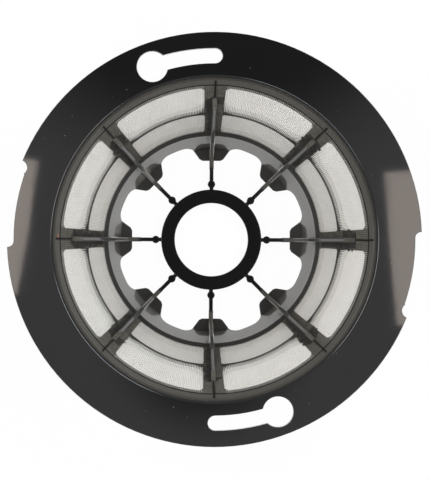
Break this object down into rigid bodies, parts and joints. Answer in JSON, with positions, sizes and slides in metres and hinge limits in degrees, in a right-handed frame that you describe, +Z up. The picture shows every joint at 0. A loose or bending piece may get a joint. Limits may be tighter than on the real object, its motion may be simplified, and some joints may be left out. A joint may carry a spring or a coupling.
{
  "type": "vacuum cleaner filter",
  "caption": "Conical filter basket with a flat twist-lock flange, rows of fine mesh windows, inner fins, a spoked hub ring and inward tabs round a scalloped end.",
  "frame": {"origin": "centre of the plane that the basket stands on, under the hub and tabs", "axes": "+Z up along the basket's axis towards the flange; +X and +Y along two of the fins, with the keyhole slots ending close to the Y axis"},
  "size_m": [0.1448, 0.145, 0.049],
  "materials": {
    "frame_plastic": "glossy black injection-moulded plastic",
    "screen_mesh": "fine white woven synthetic mesh"
  },
  "bodies": {
    "root": {"filter_frame": "frame_plastic", "mesh_screen": "screen_mesh"}
  },
  "joints": []
}
